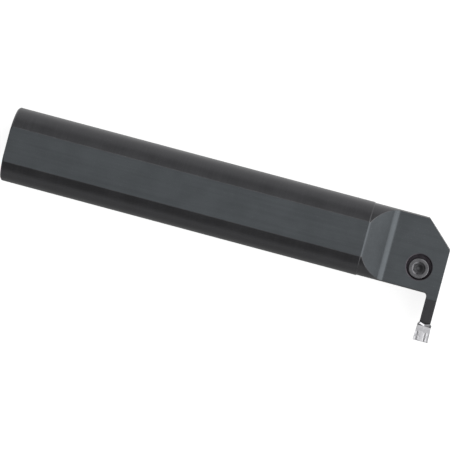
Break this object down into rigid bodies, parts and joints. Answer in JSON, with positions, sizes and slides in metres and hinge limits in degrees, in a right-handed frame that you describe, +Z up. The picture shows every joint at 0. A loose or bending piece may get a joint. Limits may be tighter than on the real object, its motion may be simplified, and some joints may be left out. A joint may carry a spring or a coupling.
{
  "type": "internal grooving tool holder",
  "caption": "Round steel bar for internal grooving: top flat, ramp to a recessed head, and a thin side blade that clamps a T-shaped carbide insert with a socket screw.",
  "frame": {"origin": "on the axis of the shank, in the rear face", "axes": "+X along the bar from the rear face to the head, +Z up out of the top flat, the insert points along -Y and its cutting edge lies at the height of the axis"},
  "size_m": [0.1531, 0.0413, 0.0234],
  "materials": {
    "holder": "blackened steel, fine ground flats, satin",
    "clamp_screw": "dark oiled alloy steel, knurled head",
    "insert": "bare ground carbide, light grey, satin"
  },
  "bodies": {
    "holder": {"holder": "holder"},
    "clamp_screw": {"clamp_screw": "clamp_screw"},
    "insert": {"insert": "insert"}
  },
  "joints": [
    {"name": "screw_turn", "type": "hinge", "parent": "holder", "child": "clamp_screw", "pos_m": [0.1438, -0.005, 0.0027], "axis": [0, 0, 1], "range_deg": [0, 720]},
    {"name": "insert_slide", "type": "slide", "parent": "holder", "child": "insert", "axis": [0, -1, 0], "range_m": [0, 0.012]}
  ]
}
